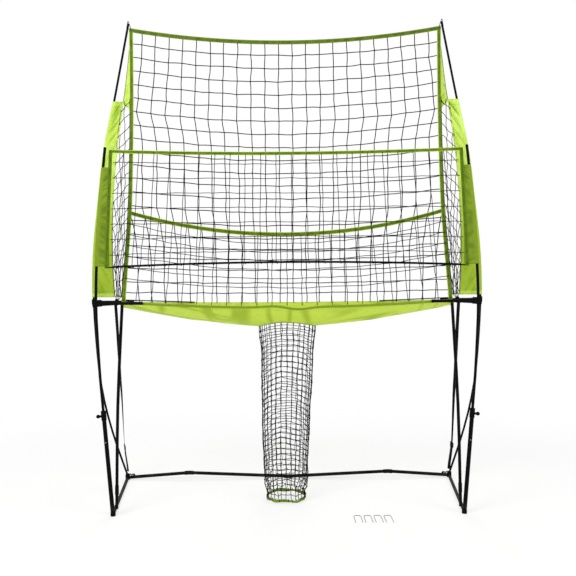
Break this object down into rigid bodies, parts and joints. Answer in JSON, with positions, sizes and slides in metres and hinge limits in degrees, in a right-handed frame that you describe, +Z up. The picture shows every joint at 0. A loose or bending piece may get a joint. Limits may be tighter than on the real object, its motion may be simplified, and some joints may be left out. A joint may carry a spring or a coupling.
{
  "type": "volleyball practice net",
  "caption": "Free-standing steel frame with a front net, a tall catching net behind it, and a cloth pan and net chute between them that return the ball to the floor.",
  "frame": {"origin": "on the floor, under the middle of the whole set, the stakes in front of it included", "axes": "+Z up, +X to the right as the player sees it, -Y towards the player"},
  "size_m": [3.0106, 1.13, 3.4823],
  "materials": {
    "frame_metal": "satin black powder coat",
    "black_plastic": "matte black",
    "webbing": "black woven polyester",
    "lime_cloth": "lime green plain woven nylon",
    "dark_lime_cloth": "darker lime plain woven nylon",
    "olive_tape": "olive green webbing tape with lime edges",
    "net_twine": "dark knotted polyethylene twine",
    "bright_steel": "bright zinc"
  },
  "bodies": {
    "root": {"back_net": "net_twine", "back_top_tape": "olive_tape", "pocket_net": "net_twine", "pocket_tape": "olive_tape", "pan": "lime_cloth", "chute_net": "net_twine", "chute_ring": "lime_cloth", "crossbar_middle_sleeve": "frame_metal", "stake_1": "bright_steel", "stake_2": "bright_steel", "stake_3": "bright_steel", "stake_4": "bright_steel", "left_edge_tape": "olive_tape", "right_edge_tape": "olive_tape", "left_side_net": "net_twine", "right_side_net": "net_twine", "left_rear_sleeve": "lime_cloth", "right_rear_sleeve": "lime_cloth", "left_floor_tube": "frame_metal", "right_floor_tube": "frame_metal", "left_front_foot": "black_plastic", "right_front_foot": "black_plastic", "left_rear_corner": "black_plastic", "right_rear_corner": "black_plastic", "left_crossbar_outer": "frame_metal", "right_crossbar_outer": "frame_metal", "left_crossbar_inner": "frame_metal", "right_crossbar_inner": "frame_metal", "left_crossbar_sleeve": "frame_metal", "right_crossbar_sleeve": "frame_metal", "left_leg_socket": "frame_metal", "right_leg_socket": "frame_metal", "left_tall_pole": "frame_metal", "right_tall_pole": "frame_metal", "left_tip_loop": "webbing", "right_tip_loop": "webbing", "left_front_arm": "frame_metal", "right_front_arm": "frame_metal", "left_side_rail": "frame_metal", "right_side_rail": "frame_metal", "left_rear_arm": "frame_metal", "right_rear_arm": "frame_metal", "left_strut": "frame_metal", "right_strut": "frame_metal", "left_buckle": "black_plastic", "right_buckle": "black_plastic", "left_strap": "webbing", "right_strap": "webbing", "left_tie": "black_plastic", "right_tie": "black_plastic"},
    "left_front_pole": {"left_front_pole": "frame_metal", "left_front_sleeve": "dark_lime_cloth"},
    "right_front_pole": {"right_front_pole": "frame_metal", "right_front_sleeve": "dark_lime_cloth"},
    "front_net": {"front_net": "net_twine", "front_tape": "olive_tape", "spreader_rod": "frame_metal"},
    "left_lock_knob": {"left_lock_knob": "black_plastic"},
    "right_lock_knob": {"right_lock_knob": "black_plastic"}
  },
  "joints": [
    {"name": "left_pole_slide", "type": "slide", "parent": "root", "child": "left_front_pole", "axis": [-0.0854, 0, 0.9963], "range_m": [-0.1807, 0]},
    {"name": "right_pole_slide", "type": "slide", "parent": "root", "child": "right_front_pole", "axis": [0.0854, 0, 0.9963], "range_m": [-0.1807, 0]},
    {"name": "front_net_slide", "type": "slide", "parent": "root", "child": "front_net", "axis": [0, 0, 1], "range_m": [-0.1801, 0]},
    {"name": "left_knob_pull", "type": "slide", "parent": "root", "child": "left_lock_knob", "axis": [-0.9963, 0, -0.0854], "range_m": [0, 0.008], "stiffness_N_per_m": 400, "springref_m": -0.002},
    {"name": "right_knob_pull", "type": "slide", "parent": "root", "child": "right_lock_knob", "axis": [0.9963, 0, -0.0854], "range_m": [0, 0.008], "stiffness_N_per_m": 400, "springref_m": -0.002}
  ],
  "couplings": [
    {"joint": "right_pole_slide", "follows": "left_pole_slide", "ratio": 1},
    {"joint": "front_net_slide", "follows": "left_pole_slide", "ratio": 0.99635}
  ]
}
